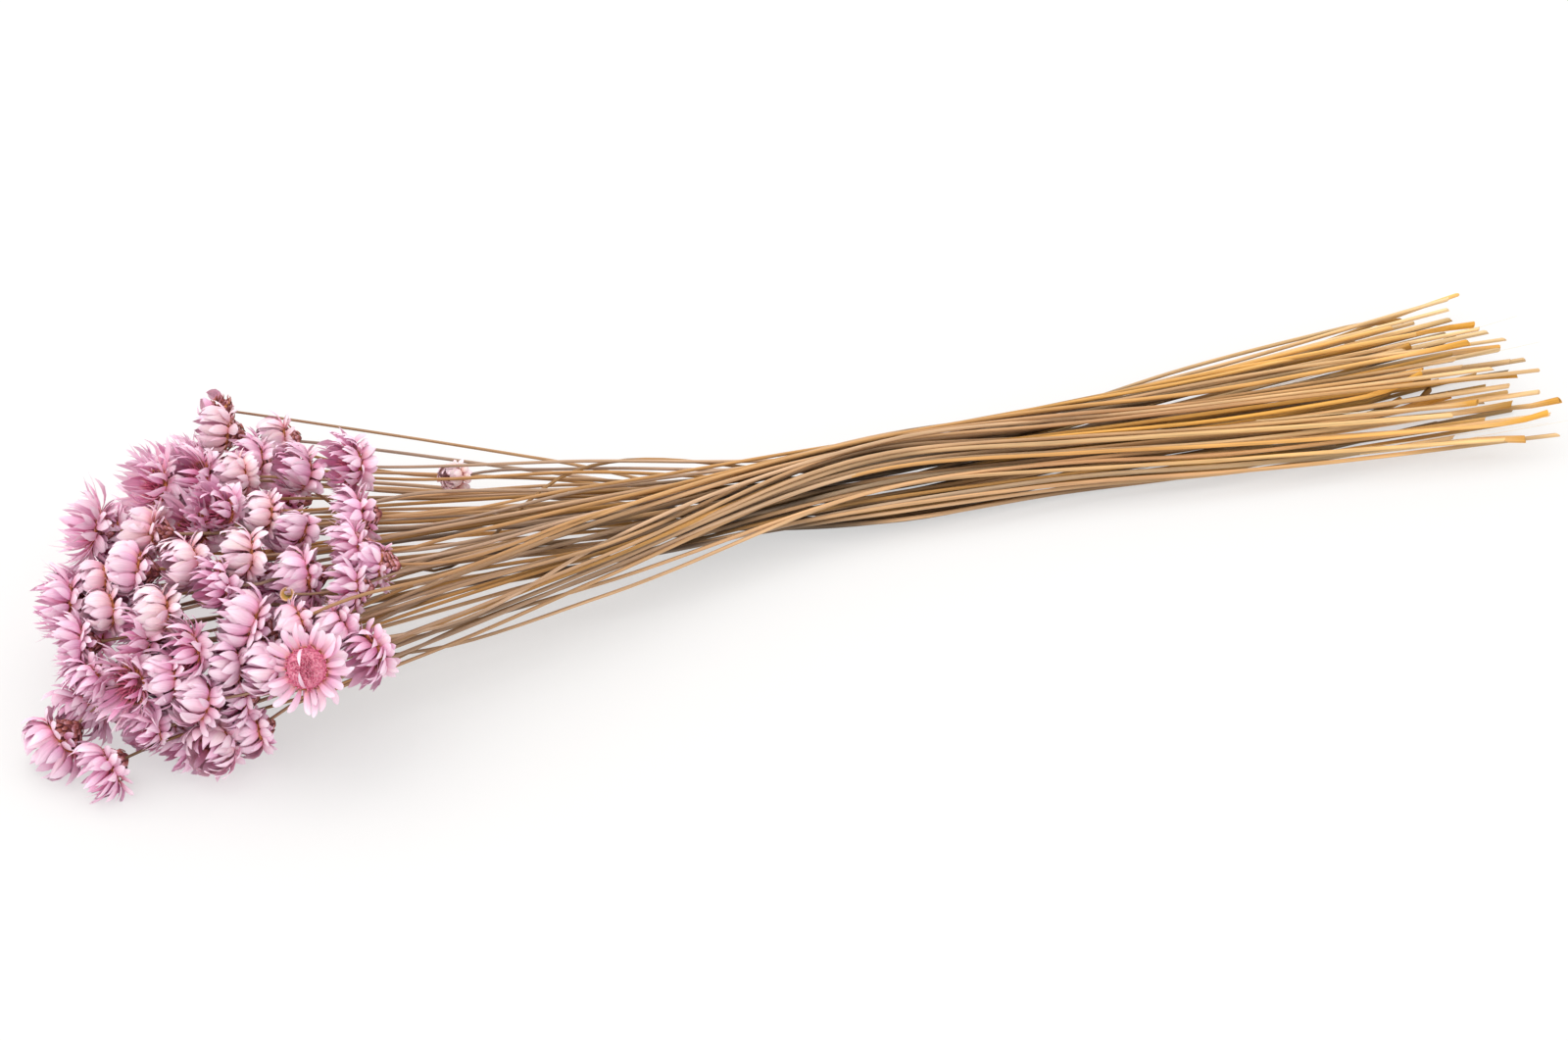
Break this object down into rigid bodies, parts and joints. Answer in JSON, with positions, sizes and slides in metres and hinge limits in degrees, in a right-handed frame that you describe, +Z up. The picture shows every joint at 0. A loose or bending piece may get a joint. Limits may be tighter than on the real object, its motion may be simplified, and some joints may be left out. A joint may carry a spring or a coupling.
{
  "type": "bunch of dried star flowers",
  "caption": "Loose bunch of dried pink star flowers on thin straw stems, lying on its side, with a heap of papery heads, a crossed waist and fanned cut ends.",
  "frame": {"origin": "middle of the bunch's outer box, on the surface that it lies on", "axes": "+X from the flower heads to the cut ends, +Y across the bunch, +Z up"},
  "size_m": [0.4722, 0.1574, 0.0567],
  "materials": {
    "dyed_bract": "dry papery bracts, dyed lilac pink, matt with a faint satin sheen",
    "straw_stem": "dry ribbed straw, matt"
  },
  "bodies": {
    "root": {"bloom_1": "dyed_bract", "bloom_10": "dyed_bract", "bloom_11": "dyed_bract", "bloom_12_13_14": "dyed_bract", "bloom_16": "dyed_bract", "bloom_17_18_48": "dyed_bract", "bloom_19": "dyed_bract", "bloom_2": "dyed_bract", "bloom_20": "dyed_bract", "bloom_21": "dyed_bract", "bloom_22": "dyed_bract", "bloom_23_26_50": "dyed_bract", "bloom_24_25": "dyed_bract", "bloom_27_30_31": "dyed_bract", "bloom_28_39_55": "dyed_bract", "bloom_29_36": "dyed_bract", "bloom_3": "dyed_bract", "bloom_32": "dyed_bract", "bloom_33": "dyed_bract", "bloom_34_37_49": "dyed_bract", "bloom_35": "dyed_bract", "bloom_38": "dyed_bract", "bloom_4": "dyed_bract", "bloom_40_53_56": "dyed_bract", "bloom_41": "dyed_bract", "bloom_42": "dyed_bract", "bloom_43": "dyed_bract", "bloom_44": "dyed_bract", "bloom_45": "dyed_bract", "bloom_46": "dyed_bract", "bloom_47": "dyed_bract", "bloom_5": "dyed_bract", "bloom_51": "dyed_bract", "bloom_52": "dyed_bract", "bloom_54": "dyed_bract", "bloom_57": "dyed_bract", "bloom_58_59_60": "dyed_bract", "bloom_61_63": "dyed_bract", "bloom_62": "dyed_bract", "bloom_64_65_66": "dyed_bract", "bloom_67": "dyed_bract", "bloom_68": "dyed_bract", "bloom_69": "dyed_bract", "bloom_6_7": "dyed_bract", "bloom_70_71": "dyed_bract", "bloom_72": "dyed_bract", "bloom_73_74_75": "dyed_bract", "bloom_76": "dyed_bract", "bloom_77": "dyed_bract", "bloom_78": "dyed_bract", "bloom_8": "dyed_bract", "bloom_9_15": "dyed_bract", "stem_strand_1": "straw_stem", "stem_strand_2": "straw_stem", "stem_strand_3": "straw_stem", "stem_strand_4": "straw_stem", "stem_strand_5": "straw_stem", "stem_strand_6": "straw_stem", "stem_strand_7": "straw_stem"}
  },
  "joints": []
}
